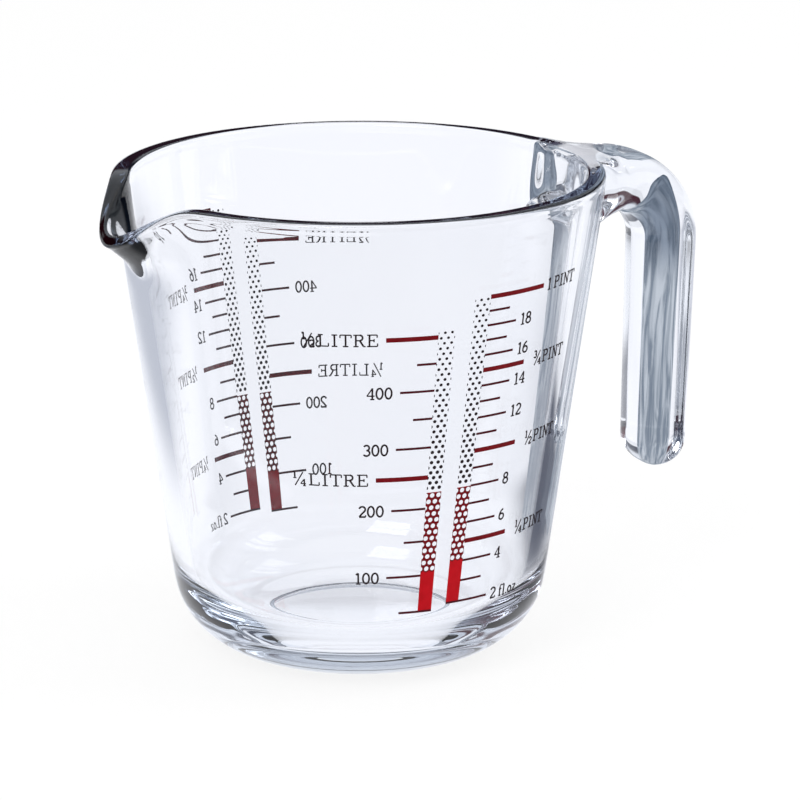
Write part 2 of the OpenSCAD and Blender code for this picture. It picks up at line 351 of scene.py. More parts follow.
def glass_body(material):
    """The vessel's sections turned about the axis, with a window left open at the handle's root,
    and the handle carried on from the window's edge: a Hermite curve leaves the glass along its own
    surface and runs into the handle's first section, then the sections follow the middle line."""
    # One section to each degree, with the handle's side in the middle
    n = 360
    middle = n // 2
    turn = np.radians(np.arange(n) - middle)
    section, band_row, bead_row = glass_section(turn)
    rows = section.shape[1]
    points = np.stack([
        section[..., 0] * np.cos(turn)[:, None],
        section[..., 0] * np.sin(turn)[:, None],
        section[..., 1],
    ], axis=-1)
    number = np.arange(n * rows).reshape(n, rows)
    right = np.roll(number, -1, axis=0)
    quads = np.stack([number[:, :-1], right[:, :-1], right[:, 1:], number[:, 1:]], axis=-1)

    left = middle - root_turn
    far = middle + root_turn
    low = band_row + int(np.searchsorted(section[middle, band_row:bead_row, 1], root_fillet_z))
    high = bead_row + root_rim_rows
    keep = np.ones(quads.shape[:2], bool)
    keep[left:far, low:high] = False
    faces = quads[keep].tolist()
    first_pole = n * rows
    points = points.reshape(-1, 3)
    poles = np.array([[0, 0, ring_depth], [0, 0, floor_h]])
    fan = np.arange(n)
    following = (fan + 1) % n
    bottom = np.stack([np.full(n, first_pole), number[following, 0], number[fan, 0]], axis=-1)
    floor = np.stack([np.full(n, first_pole + 1), number[fan, -1], number[following, -1]], axis=-1)
    faces += bottom.tolist() + floor.tolist()

    column = np.arange(left, far + 1)
    row = np.arange(low, high + 1)
    loop = np.concatenate([
        number[column[:-1], low],
        number[far, row[:-1]],
        number[column[:0:-1], high],
        number[left, row[:0:-1]],
    ])
    outside = np.concatenate([
        number[column[:-1], low - 1],
        number[far + 1, row[:-1]],
        number[column[:0:-1], high + 1],
        number[left - 1, row[:0:-1]],
    ])
    corners = {0: (left - 1, low - 1), len(column) - 1: (far + 1, low - 1)}
    corners[len(column) + len(row) - 2] = (far + 1, high + 1)
    corners[2 * len(column) + len(row) - 3] = (left - 1, high + 1)
    for place, (i, j) in corners.items():
        outside[place] = number[i, j]
    even_column = np.linspace(-1, 1, len(column))
    even_row = np.linspace(-1, 1, len(row))
    ones_up = np.ones(len(row) - 1)
    ones_across = np.ones(len(column) - 1)
    p = np.concatenate([even_column[:-1], ones_up, even_column[:0:-1], -ones_up])
    q = np.concatenate([-ones_across, even_row[:-1], ones_across, even_row[:0:-1]])

    start = points[loop]
    leave = start - points[outside]
    leave /= np.linalg.norm(leave, axis=-1, keepdims=True)
    step = 0.1
    stop, beyond = handle_sections(np.array([root_fillet_l, root_fillet_l + step]), p, q)
    arrive = beyond - stop
    arrive /= np.linalg.norm(arrive, axis=-1, keepdims=True)
    span = np.linalg.norm(stop - start, axis=-1, keepdims=True)
    t = np.linspace(0, 1, fillet_n)[1:-1, None, None]
    fillet = (
        (2 * t ** 3 - 3 * t ** 2 + 1) * start
        + (t ** 3 - 2 * t ** 2 + t) * leave * span
        + (3 * t ** 2 - 2 * t ** 3) * stop
        + (t ** 3 - t ** 2) * arrive * span
    )
    stations = np.concatenate([
        np.linspace(root_fillet_l, arm_l + bend_l, bend_n)[:-1],
        np.linspace(arm_l + bend_l, handle_l - dome_l, grip_n)[:-1],
        handle_l - dome_l * (1 - np.sin(np.linspace(0, math.pi / 2, dome_n)[:-1])),
    ])
    rings = np.concatenate([fillet, handle_sections(stations, p, q)])
    m = len(loop)
    first = first_pole + 2
    ring_number = np.concatenate([loop[None], first + np.arange(len(rings) * m).reshape(len(rings), m)])
    beside = np.roll(ring_number, -1, axis=1)
    skin = np.stack([ring_number[:-1], beside[:-1], beside[1:], ring_number[1:]], axis=-1).reshape(-1, 4)
    tip_number = first + len(rings) * m
    tip = grip_foot + grip_l * grip_way
    cap = np.stack([ring_number[-1], beside[-1], np.full(m, tip_number)], axis=-1)
    faces += skin.tolist() + cap.tolist()
    points = np.concatenate([points, poles, rings.reshape(-1, 3), [[tip[0], 0, tip[1]]]])

    # The points inside the window carry no face and are left out
    used = np.ones(len(points), bool)
    used[number[left + 1:far, low + 1:high].ravel()] = False
    renumber = np.cumsum(used) - 1
    sizes = np.array([len(f) for f in faces])
    flat = renumber[np.concatenate([np.asarray(f) for f in faces])]
    faces = [f.tolist() for f in np.split(flat, np.cumsum(sizes)[:-1])]
    piece = make_piece("glass_body", points[used], faces, [material])
    piece.data.polygons.foreach_set("use_smooth", np.ones(len(faces), bool))
    return piece


# Scale


def hollow_r(z):
    """Inside radius at a height above the floor, with the rounded inside corner."""
    round_r = inner_corner_x + np.sqrt(np.maximum(0, inner_corner_r ** 2 - (inner_corner_z - z) ** 2))
    return np.where(z >= inner_corner_z - inner_corner_r * math.sin(slope), inner_r(z), round_r)


fill_z = np.linspace(floor_h, height, fill_n)
fill_slice = math.pi * hollow_r(fill_z) ** 2
fill_v = np.concatenate([[0], np.cumsum((fill_slice[1:] + fill_slice[:-1]) / 2 * np.diff(fill_z))])
pint = float(np.interp(height - top_mark_drop, fill_z, fill_v))
fl_oz = pint / pint_fl_oz
metric_step = pint * metric_step_ml / pint_ml


def level(v):
    """Height of the surface at a given contents."""
    return float(np.interp(v, fill_v, fill_z))


middle_z = level(metric_step * main_every)


def turn_of(l, z):
    """Turn about the axis, in radians, of a length along the wall at a height."""
    return l / outer_r(z)


def scale_turn(z):
    """Turn of the scale's leaning middle line at a height."""
    return turn_of((z - middle_z) * math.tan(scale_lean), z)


column_near = turn_of(column_gap / 2, middle_z)
column_far = turn_of(column_gap / 2 + column_w, middle_z)


def on_wall(turn, z, lift):
    """Points on the cone of the wall at a turn and a height, lifted along the wall's normal."""
    r = outer_r(z) + lift * math.cos(slope)
    return np.stack([r * np.cos(turn), r * np.sin(turn), z - lift * math.sin(slope)], axis=-1)


class Print:
    """Flat triangles of one enamel piece, collected in turn and height, then given their thickness."""

    def __init__(self):
        self.turn = []
        self.z = []
        self.triangles = []
        self.finish = []
        self.count = 0

    def add(self, turn, z, triangles, finish):
        """Triangles over points at turns and heights, with one finish for all or one for each."""
        self.turn.append(np.ravel(turn))
        self.z.append(np.ravel(z))
        self.triangles.append(triangles + self.count)
        self.finish.append(np.broadcast_to(finish, len(triangles)))
        self.count += np.size(turn)

    def piece(self, name, facing, materials):
        """The triangles above the wall, doubled a hair over the glass, with a side on every open edge."""
        turn = np.concatenate(self.turn) + facing
        z = np.concatenate(self.z)
        triangles = np.concatenate(self.triangles)
        finish = np.concatenate(self.finish)
        n = len(turn)
        edges = np.concatenate([triangles[:, [0, 1]], triangles[:, [1, 2]], triangles[:, [2, 0]]])
        edge_finish = np.tile(finish, 3)
        open_edge = ~np.isin(edges[:, 0] * n + edges[:, 1], edges[:, 1] * n + edges[:, 0])
        a, b = edges[open_edge].T
        sides = np.stack([b, a, a + n, b + n], axis=-1)
        points = np.concatenate([on_wall(turn, z, enamel_rise), on_wall(turn, z, enamel_gap)])
        faces = triangles.tolist() + (triangles[:, ::-1] + n).tolist() + sides.tolist()
        face_finish = np.concatenate([finish, finish, edge_finish[open_edge]])
        return make_piece(name, points, faces, materials, face_finish)


def grid_triangles(rows, columns):
    """Two triangles for each cell of a grid of rows by columns of points."""
    number = np.arange(rows * columns).reshape(rows, columns)
    a = number[:-1, :-1].ravel()
    b = number[:-1, 1:].ravel()
    c = number[1:, 1:].ravel()
    d = number[1:, :-1].ravel()
    return np.concatenate([np.stack([a, b, c], -1), np.stack([a, c, d], -1)])


def add_mark(sheet, v, l, t, side, finish, near=None):
    """A mark is a level strip that runs from its column away to one side."""
    z = level(v)
    ends = np.sort(side * np.array([column_far if near is None else near, column_far + turn_of(l, z)]))
    turn = scale_turn(z) + np.linspace(ends[0], ends[1], mark_n)
    turn, height_of = np.meshgrid(turn, [z - t / 2, z + t / 2])
    sheet.add(turn, height_of, grid_triangles(2, mark_n), finish)


def strip_turn(u, z, side):
    """Turn of a place u across a column, from its left edge, at a height."""
    start = column_gap / 2 if side > 0 else -column_gap / 2 - column_w
    return scale_turn(z) + turn_of(start + u, middle_z)


def lattice(rows, pitch_z, top):
    """Middles of staggered holes: every other row is moved by half a pitch."""
    k = np.arange(-1, rows)
    j = np.arange(-1, lattice_holes)
    u = lattice_start + hole_pitch * (j[None, :] + 0.5 * (k[:, None] % 2))
    v = np.broadcast_to((top - (k + 0.5) * pitch_z)[:, None], u.shape)
    return u.ravel(), v.ravel(), np.repeat(k, len(j))


def add_cells(sheet, across, upward, triangles, side, finish):
    """Triangles at places across and up a column. Equal places are joined and slivers are left out."""
    places = np.round(np.stack([across.ravel(), upward.ravel()], -1), place_decimals)
    place, merged = np.unique(places, axis=0, return_inverse=True)
    triangles = merged.reshape(-1)[triangles]
    a, b, c = (place[triangles[:, corner]] for corner in range(3))
    area = (b[:, 0] - a[:, 0]) * (c[:, 1] - a[:, 1]) - (b[:, 1] - a[:, 1]) * (c[:, 0] - a[:, 0])
    sound = area > least_area
    turn = strip_turn(place[:, 0], place[:, 1], side)
    sheet.add(turn, place[:, 1], triangles[sound], np.broadcast_to(finish, len(triangles))[sound])


def add_column(sheet, low_v, open_v, high_v, side):
    """A column is a strip of six-sided cells. Each cell of its upper stretch is a ring about a round
    hole, the others are full, and all are cut off at the strip's edges."""
    low = level(low_v) + mark_t / 2
    top = level(high_v)
    rows = int((top - low) / hole_row) + 2
    u, v, k = lattice(rows, hole_row, top)
    peak = hole_pitch ** 2 / (8 * hole_row) + hole_row / 2
    shoulder = hole_row / 2 - hole_pitch ** 2 / (8 * hole_row)
    half = hole_pitch / 2
    six = np.array([
        [half, -shoulder], [half, shoulder], [0, peak],
        [-half, shoulder], [-half, -shoulder], [0, -peak],
    ])
    t = np.arange(cell_parts)[None, :, None] / cell_parts
    edge = (six[:, None] * (1 - t) + np.roll(six, -1, axis=0)[:, None] * t).reshape(-1, 2)
    m = len(edge)
    bearing = np.arctan2(edge[:, 1], edge[:, 0])
    pierced = (k >= 0) & (v > level(open_v) + hole_row / 4)
    size = np.where(pierced, hole_r, 0)[:, None]
    across = np.stack([u[:, None] + edge[:, 0], u[:, None] + size * np.cos(bearing)], axis=1)
    upward = np.stack([v[:, None] + edge[:, 1], v[:, None] + size * np.sin(bearing)], axis=1)
    across = np.clip(across, 0, column_w)
    upward = np.clip(upward, low, top)
    i = np.arange(m)
    j = (i + 1) % m
    ring = np.concatenate([np.stack([i, j, m + j], -1), np.stack([i, m + j, m + i], -1)])
    triangles = (np.arange(len(u))[:, None, None] * 2 * m + ring).reshape(-1, 3)
    add_cells(sheet, across, upward, triangles, side, np.repeat(pierced, len(ring)).astype(int))


def add_dots(sheet, low_v, top, side):
    """Rows of round dots that go on above a column and grow finer upwards, cut off at its edges."""
    low = level(low_v)
    rows = int((top - low) / dot_row)
    u, v, k = lattice(rows, dot_row, top)
    inside = (k >= 0) & (u > -dot_overhang) & (u < column_w + dot_overhang)
    u = u[inside]
    v = v[inside]
    r = dot_r_low + (dot_r_high - dot_r_low) * (v - low) / (top - low)
    a = np.arange(dot_sides) * 2 * math.pi / dot_sides
    across = np.clip(u[:, None] + r[:, None] * np.cos(a), 0, column_w)
    upward = v[:, None] + r[:, None] * np.sin(a)
    i = np.arange(1, dot_sides - 1)
    fan = np.stack([np.zeros(dot_sides - 2, int), i, i + 1], -1)
    triangles = (np.arange(len(u))[:, None, None] * dot_sides + fan).reshape(-1, 3)
    add_cells(sheet, across, upward, triangles, side, 0)


def bow(cx, cy, rx, ry, start, end, n=14):
    """Points of an ellipse's arc, angles in degrees."""
    a = np.radians(np.linspace(start, end, n))
    return np.stack([cx + rx * np.cos(a), cy + ry * np.sin(a)], -1)


def bar(*points):
    """A straight stroke or a stroke with corners."""
    return np.asarray(points, float)


# Each sign: its width, its full strokes and its thin strokes, in cap heights
signs = {
    "0": (0.76, [bow(0.37, 0.5, 0.27, 0.47, 0, 360, 29)], []),
    "1": (0.66, [bar((0.36, 0), (0.36, 1)), bar((0.37, 0.98), (0.16, 0.84))], [bar((0.16, 0), (0.56, 0))]),
    "2": (0.72, [np.concatenate([bow(0.35, 0.72, 0.26, 0.25, 165, -38, 14), bar((0.3, 0.3), (0.1, 0.05))]),
                 bar((0.08, 0.03), (0.62, 0.03))], [bar((0.62, 0), (0.64, 0.2))]),
    "3": (0.72, [bow(0.33, 0.74, 0.24, 0.23, 150, -90, 15), bow(0.33, 0.27, 0.28, 0.25, 90, -150, 16)], []),
    "4": (0.76, [bar((0.52, 0), (0.52, 1))], [bar((0.52, 0.98), (0.06, 0.3)), bar((0.05, 0.3), (0.72, 0.3)),
                                             bar((0.34, 0), (0.7, 0))]),
    "6": (0.72, [bow(0.36, 0.29, 0.26, 0.27, 0, 360, 25), bow(0.6, 0.3, 0.5, 0.66, 180, 100, 10)], []),
    "8": (0.72, [bow(0.36, 0.75, 0.22, 0.22, 0, 360, 23), bow(0.36, 0.27, 0.27, 0.25, 0, 360, 25)], []),
    "L": (0.98, [bar((0.26, 0), (0.26, 1))], [bar((0.08, 1), (0.46, 1)), bar((0.08, 0), (0.86, 0)),
                                             bar((0.86, 0), (0.86, 0.28))]),
    "I": (0.66, [bar((0.33, 0), (0.33, 1))], [bar((0.12, 1), (0.54, 1)), bar((0.12, 0), (0.54, 0))]),
    "T": (0.98, [bar((0.49, 0), (0.49, 1))], [bar((0.08, 1), (0.9, 1)), bar((0.08, 1), (0.08, 0.74)),
                                             bar((0.9, 1), (0.9, 0.74)), bar((0.28, 0), (0.7, 0))]),
    "R": (1.0, [bar((0.26, 0), (0.26, 1)), bow(0.54, 0.76, 0.22, 0.24, 90, -90, 13),
                bar((0.56, 0.5), (0.82, 0.02))],
          [bar((0.08, 1), (0.54, 1)), bar((0.26, 0.52), (0.54, 0.52)), bar((0.08, 0), (0.46, 0)),
           bar((0.8, 0), (0.98, 0))]),
    "E": (0.96, [bar((0.26, 0), (0.26, 1))],
          [bar((0.08, 1), (0.82, 1)), bar((0.82, 1), (0.82, 0.76)), bar((0.26, 0.52), (0.6, 0.52)),
           bar((0.6, 0.66), (0.6, 0.38)), bar((0.08, 0), (0.86, 0)), bar((0.86, 0), (0.86, 0.26))]),
    "P": (0.86, [bar((0.24, 0), (0.24, 1)), bow(0.5, 0.75, 0.24, 0.25, 90, -90, 13)],
          [bar((0.06, 1), (0.5, 1)), bar((0.24, 0.5), (0.5, 0.5)), bar((0.06, 0), (0.46, 0))]),
    "N": (0.98, [bar((0.2, 0.99), (0.78, 0.01))],
          [bar((0.2, 0), (0.2, 1)), bar((0.78, 0), (0.78, 1)), bar((0.04, 0), (0.36, 0)),
           bar((0.04, 1), (0.22, 1)), bar((0.62, 1), (0.94, 1))]),
    "f": (0.5, [bar((0.22, 0), (0.22, 0.78))],
          [bow(0.4, 0.78, 0.18, 0.22, 180, 40, 9), bar((0.08, 0.62), (0.42, 0.62)),
           bar((0.08, 0), (0.4, 0))]),
    "l": (0.44, [bar((0.22, 0), (0.22, 1))], [bar((0.08, 1), (0.22, 1)), bar((0.06, 0), (0.38, 0))]),
    ".": (0.3, [bar((0.14, 0), (0.14, 0.12))], []),
    "o": (0.64, [bow(0.31, 0.31, 0.22, 0.29, 0, 360, 21)], []),
    "z": (0.6, [bar((0.5, 0.6), (0.1, 0.02))],
          [bar((0.08, 0.6), (0.52, 0.6)), bar((0.08, 0.02), (0.54, 0.02))]),
    " ": (0.3, [], []),
}


def ribbon(points, t):
    """A stroke as a strip: each point moved half the stroke's thickness to both sides of the line."""
    way = np.gradient(points, axis=0)
    way /= np.linalg.norm(way, axis=-1, keepdims=True)
    side = np.stack([-way[:, 1], way[:, 0]], -1) * t / 2
    return np.stack([points - side, points + side])


def label_strokes(text, width_share):
    """Strokes of a line of signs in millimetres from its left end at half height, and its length.
    A fraction such as 1/2 is set as two small figures with a slanting stroke between them."""
    strokes = []
    x = 0.0
    letters = list(text)
    while letters:
        if len(letters) > 2 and letters[1] == "/":
            figures = (letters[0], letters[2])
            letters = letters[3:]
            small = cap_h * fraction_share
            for sign, (dx, dy) in zip(figures, fraction_places):
                start = [x + dx * cap_h * width_share, dy * cap_h]
                for thick, lines in zip((stroke_t, thin_stroke_t), signs[sign][1:]):
                    for s in lines:
                        figure = s * [small * width_share, small] + start
                        strokes.append((figure, thick * fraction_stroke_share))
            slash = bar(*fraction_slash) * [cap_h * width_share, cap_h] + [x, 0]
            strokes.append((slash, thin_stroke_t))
            x += fraction_w * cap_h * width_share
            continue
        sign = letters.pop(0)
        width, full, thin = signs[sign]
        for thick, lines in ((stroke_t, full), (thin_stroke_t, thin)):
            for s in lines:
                strokes.append((s * [cap_h * width_share, cap_h] + [x, 0], thick))
        x += width * cap_h * width_share
    return [(s - [0, cap_h / 2], thick) for s, thick in strokes], x


def add_label(sheet, text, v, gap, side, width_share):
    """A label stands level with its mark, a gap away from the mark's far end."""
    z = level(v)
    strokes, length = label_strokes(text, width_share)
    start = scale_turn(z) + side * (column_far + turn_of(gap, z))
    if side < 0:
        start -= turn_of(length, z)
    for points, thick in strokes:
        strip = ribbon(points, thick)
        sheet.add(start + turn_of(strip[..., 0], z), z + strip[..., 1],
                  grid_triangles(2, strip.shape[1])[:, ::-1], 0)


# The two scales. The first and last mark, the start of the holes and the column's top are counted in
# steps. The dots run on over the last mark. One gap lies before a label, another before a word
scales = {
    "metric": {
        "side": -1, "step": metric_step, "first": 1, "last": 10, "holes": 2, "top": 4.5,
        "dots_over": 1.6, "minor_l": metric_minor_l, "last_l": main_mark_l, "gap": 1.6, "word_gap": 1.6,
        "labels": {2: "100", 4: "200", 5: "1/4LITRE", 6: "300", 8: "400", 10: "1/2LITRE"},
    },
    "pint": {
        "side": 1, "step": fl_oz, "first": 2, "last": 20, "holes": 4, "top": 8,
        "dots_over": 0.2, "minor_l": pint_minor_l, "last_l": top_mark_l, "gap": 1.3, "word_gap": 3.4,
        "labels": {
            2: "2 fl.oz", 4: "4", 5: "1/4PINT", 6: "6", 8: "8", 10: "1/2PINT", 12: "12", 14: "14",
            15: "3/4PINT", 16: "16", 18: "18", 20: "1 PINT",
        },
    },
}


def scale_pieces(face, facing, red, dark_red, thin_red, fine):
    """All enamel of one face of the jug: two columns, their marks, dots and labels."""
    for kind, scale in scales.items():
        side = scale["side"]
        step = scale["step"]
        first = scale["first"]
        last = scale["last"]
        column = Print()
        marks = Print()
        dots = Print()
        labels = Print()
        high_v = scale["top"] * step
        add_column(column, first * step, scale["holes"] * step, high_v, side)
        add_dots(dots, high_v, level(last * step) + scale["dots_over"], side)
        for i in range(first, last + 1):
            main = i % main_every == 0
            l = main_mark_l if main else mark_l if i % 2 == 0 else scale["minor_l"]
            if i == last:
                l = scale["last_l"]
            near = column_near if i == first else None
            add_mark(marks, i * step, l, main_mark_t if main else mark_t, side, 0 if main else 1, near)
            text = scale["labels"].get(i)
            if text:
                gap = l + scale["word_gap" if main and i < last else "gap"]
                width_share = litre_width_share if "LITRE" in text else label_width_share
                add_label(labels, text, i * step, gap, side, width_share)
        name = face + "_" + kind
        placed = (
            (column.piece(name + "_column_print", facing, [red, dark_red]), "red_enamel", name + "_column"),
            (marks.piece(name + "_marks_print", facing, [dark_red, thin_red]),
             "dark_red_enamel", name + "_marks"),
            (dots.piece(name + "_dots", facing, [fine]), "dark_red_enamel", None),
            (labels.piece(name + "_labels", facing, [fine]), "dark_red_enamel", None),
        )
        for piece, slot, node in placed:
            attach(piece, "root")
            if node:
                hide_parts(node)


# Materials


def bare_material(name):
    """A node material with nothing but its output."""
    material = bpy.data.materials.new(name)
    material.use_nodes = True
    material.node_tree.nodes.clear()
    return material, material.node_tree.nodes.new("ShaderNodeOutputMaterial")


def new_material(name):
    """A node material with its Principled shader and an Object coordinate."""
    material, out = bare_material(name)
    nodes = material.node_tree.nodes
    shader = nodes.new("ShaderNodeBsdfPrincipled")
    place = nodes.new("ShaderNodeTexCoord")
    material.node_tree.links.new(shader.outputs["BSDF"], out.inputs["Surface"])
    return material, shader, place.outputs["Object"]


def noise(material, place, scale, detail):
    """A noise pattern over the piece, with its grains counted per metre."""
    node = material.node_tree.nodes.new("ShaderNodeTexNoise")
    node.inputs["Scale"].default_value = scale
    node.inputs["Detail"].default_value = detail
    material.node_tree.links.new(place, node.inputs["Vector"])
    return node.outputs["Fac"]


def two_colours(material, shader, pattern, low, high):
    """Base colour that wanders between two colours with a pattern."""
    ramp = material.node_tree.nodes.new("ShaderNodeValToRGB")
    ramp.color_ramp.elements[0].position = 0.3
    ramp.color_ramp.elements[1].position = 0.7
    ramp.color_ramp.elements[0].color = (*low, 1)
    ramp.color_ramp.elements[1].color = (*high, 1)
    material.node_tree.links.new(pattern, ramp.inputs["Fac"])
    material.node_tree.links.new(ramp.outputs["Color"], shader.inputs["Base Color"])


def worn_gloss(material, shader, pattern, low, high):
    """Roughness that wanders between two values with a pattern."""
    span = material.node_tree.nodes.new("ShaderNodeMapRange")
    span.inputs["To Min"].default_value = low
    span.inputs["To Max"].default_value = high
    material.node_tree.links.new(pattern, span.inputs["Value"])
    material.node_tree.links.new(span.outputs["Result"], shader.inputs["Roughness"])


def uneven(material, shader, pattern, strength, depth):
    """A faint unevenness of the surface, by bump."""
    bump = material.node_tree.nodes.new("ShaderNodeBump")
    bump.inputs["Strength"].default_value = strength
    bump.inputs["Distance"].default_value = depth
    material.node_tree.links.new(pattern, bump.inputs["Height"])
    material.node_tree.links.new(bump.outputs["Normal"], shader.inputs["Normal"])


def clear_glass():
    """Clear pressed glass with a faint cool tint and the slow waves that a mould leaves."""
    material, shader, place = new_material("clear_pressed_glass")
    tint = noise(material, place, scale=22, detail=2)
    two_colours(material, shader, tint, low=(0.985, 0.988, 0.998), high=(0.995, 0.996, 1.0))
    wear = noise(material, place, scale=260, detail=3)
    worn_gloss(material, shader, wear, low=0.0, high=0.012)
    waves = noise(material, place, scale=55, detail=1)
    uneven(material, shader, waves, strength=0.05, depth=0.0002)
    shader.inputs["Transmission Weight"].default_value = 1.0
    shader.inputs["IOR"].default_value = 1.5
    depth = material.node_tree.nodes.new("ShaderNodeVolumeAbsorption")
    depth.inputs["Color"].default_value = (0.7, 0.76, 0.84, 1)
    depth.inputs["Density"].default_value = 9
    out = shader.outputs["BSDF"].links[0].to_node
    material.node_tree.links.new(depth.outputs["Volume"], out.inputs["Volume"])
    return material


def fired_enamel(name, low, high):
    """Fired enamel: two close shades, a soft gloss and a fine grain."""
    material, shader, place = new_material(name)
    shades = noise(material, place, scale=420, detail=3)
    two_colours(material, shader, shades, low, high)
    wear = noise(material, place, scale=1500, detail=3)
    worn_gloss(material, shader, wear, low=0.32, high=0.5)
    grain = noise(material, place, scale=2600, detail=2)
    uneven(material, shader, grain, strength=0.25, depth=0.00003)
    shader.inputs["Specular IOR Level"].default_value = 0.1
    return material


# Studio


# Ways across the studio, seen from the camera, and a slant past the jug's front left
studio_right = (0.9048, -0.4258, 0.0)
studio_back = (0.4258, 0.9048, 0.0)
studio_up = (0.0, 0.0, 1.0)
studio_front_left = (-0.907, -0.424, 0.0)

# The room that gloss and glass see. An edge is a pair: where a change starts and where it is done,
# as shares of a direction
room_light = 0.8
wall_left = (0.06, 0.012, 0.022)
wall_right = (0.03, 0.042, 0.075)
front_ceiling_left = (0.13, 0.05, 0.07)
front_ceiling_right = (0.08, 0.1, 0.15)
back_ceiling = (0.7, 0.74, 0.82)
front_horizon = (0.08, 0.085, 0.1)
back_horizon = (0.86, 0.88, 0.93)
pure_white = (1, 1, 1)
left_to_right_edge = (-0.4, 0.4)
ceiling_depth_edge = (-0.3, 0.3)
horizon_depth_edge = (-0.35, 0.1)
wall_foot_edge = (0.09, 0.12)
ceiling_foot_edge = (0.25, 0.4)
overhead_edge = (0.85, 0.93)

# The floor, and its areas that gloss and glass see in other tones. These are painted reflections: darker in
# those areas and a little brighter and bluer than white elsewhere. Gloss and glass also see a larger share
# of the glow than the camera does. Their edges are in metres, to the right, to the back, along the slant or
# away from the jug's axis
floor_half = 6000.0
floor_gap = 0.05
floor_paint = (0.95, 0.95, 0.95)
floor_glow = 1.03
floor_camera_share = 0.8
floor_glass_share = 0.93
# Painted light: the floor's glow as gloss and glass see it, a little brighter and bluer than white
painted_floor_glow = (1, 1.015, 1.07)
# Painted reflections: the darker tones of the floor's areas, seen only by gloss and glass
front_painted_reflection = (0.22, 0.23, 0.27)
front_near_edge = (-0.055, -0.1)
front_far_edge = (-0.36, -0.26)
front_right_edge = (0.14, 0.07)
front_slant_edge = (0.05, 0.08)
front_slant_back_edge = (0.0, -0.03)
left_painted_reflection = (0.5, 0.53, 0.61)
left_near_edge = (-0.085, -0.16)
left_front_edge = (0.02, 0.08)
left_back_edge = (0.5, 0.35)
right_front_painted_reflection = (0.38, 0.4, 0.45)
right_back_painted_reflection = (0.06, 0.07, 0.11)
right_tone_edge = (0.0, 0.04)
right_near_edge = (0.05, 0.08)
right_far_edge = (0.42, 0.36)
right_back_edge = (0.135, 0.105)
far_painted_reflection = (0.08, 0.085, 0.1)
far_near_edge = (0.5, 0.65)
far_back_edge = (0.1, -0.1)

# The glowing board behind the handle, a painted reflection in the glass: its place in millimetres,
# its streaks, and the edges in metres of the stretch that the handle's bend looks at, which is
# darker as painted shade
board_left = 62.0
board_right = 87.0
board_back = 72.0
board_h = 240.0
streaks_per_metre = (170, 170, 38)
streak_detail = 3
streak_distortion = 1.6
streak_edge = (0.35, 0.65)
# Painted reflection: the board's pale streaks, and its darker streaks that are painted shade at the bend
pale_streaks = ((0.2, 0.245, 0.31), (0.56, 0.61, 0.68))
bend_shade_streaks = ((0.07, 0.1, 0.145), (0.23, 0.28, 0.36))
bend_shade_foot_edge = (0.07, 0.085)
bend_shade_top_edge = (0.115, 0.1)

# Lamps, in metres and watts, and the camera, in millimetres and degrees
lamp_aim = (0, 0, 0.06)
key_place = (-0.9, -0.7, 1.2)
key_side = 0.7
key_watts = 6
fill_place = (0.9, -0.4, 0.9)
fill_side = 0.6
fill_watts = 3
camera_place = (-386.95, -845.29, 318.78)
camera_down = 15.57
camera_turn = -25.2
lens_l = 180.24
sensor_w = 36


def along(tree, place, axis):
    """How far a place or a direction reaches along an axis."""
    node = tree.nodes.new("ShaderNodeVectorMath")
    node.operation = "DOT_PRODUCT"
    node.inputs[1].default_value = axis
    tree.links.new(place, node.inputs[0])
    return node.outputs["Value"]


def rise(tree, value, edge):
    """A smooth step from 0 at the edge's first value to 1 at its second."""
    node = tree.nodes.new("ShaderNodeMapRange")
    node.interpolation_type = "SMOOTHSTEP"
    node.inputs["From Min"].default_value = edge[0]
    node.inputs["From Max"].default_value = edge[1]
    tree.links.new(value, node.inputs["Value"])
    return node.outputs["Result"]


def combine(tree, operation, a, b):
    """A sum of two values, or another operation on them."""
    node = tree.nodes.new("ShaderNodeMath")
    node.operation = operation
    for socket, value in zip(node.inputs, (a, b)):
        if isinstance(value, float):
            socket.default_value = value
        else:
            tree.links.new(value, socket)
    return node.outputs[0]


def overlap(tree, *shares):
    """The product of shares, which is 1 only where every one of them is 1."""
    product = shares[0]
    for share in shares[1:]:
        product = combine(tree, "MULTIPLY", product, share)
    return product


def fade(tree, share, low, high):
    """A colour between two colours, each of which is given or comes from another node."""
    node = tree.nodes.new("ShaderNodeMix")
    node.data_type = "RGBA"
    tree.links.new(share, node.inputs[0])
    for socket, colour in ((node.inputs[6], low), (node.inputs[7], high)):
        if isinstance(colour, tuple):
            socket.default_value = (*colour, 1)
        else:
            tree.links.new(colour, socket)
    return node.outputs[2]


def mix_shaders(tree, share, first, second, out):
    """The surface of an output: one shader where the share is 0 and another where it is 1."""
    mix = tree.nodes.new("ShaderNodeMixShader")
    tree.links.new(share, mix.inputs["Fac"])
    tree.links.new(first.outputs[0], mix.inputs[1])
    tree.links.new(second.outputs[0], mix.inputs[2])
    tree.links.new(mix.outputs["Shader"], out.inputs["Surface"])


def seen_in_glass(tree):
    """1 for what gloss shows and what is seen through glass, 0 for the light that falls on a surface."""
    path = tree.nodes.new("ShaderNodeLightPath")
    shown = combine(tree, "MAXIMUM", path.outputs["Is Glossy Ray"], path.outputs["Is Transmission Ray"])
    return combine(tree, "MULTIPLY", shown, combine(tree, "LESS_THAN", path.outputs["Diffuse Depth"], 0.5))


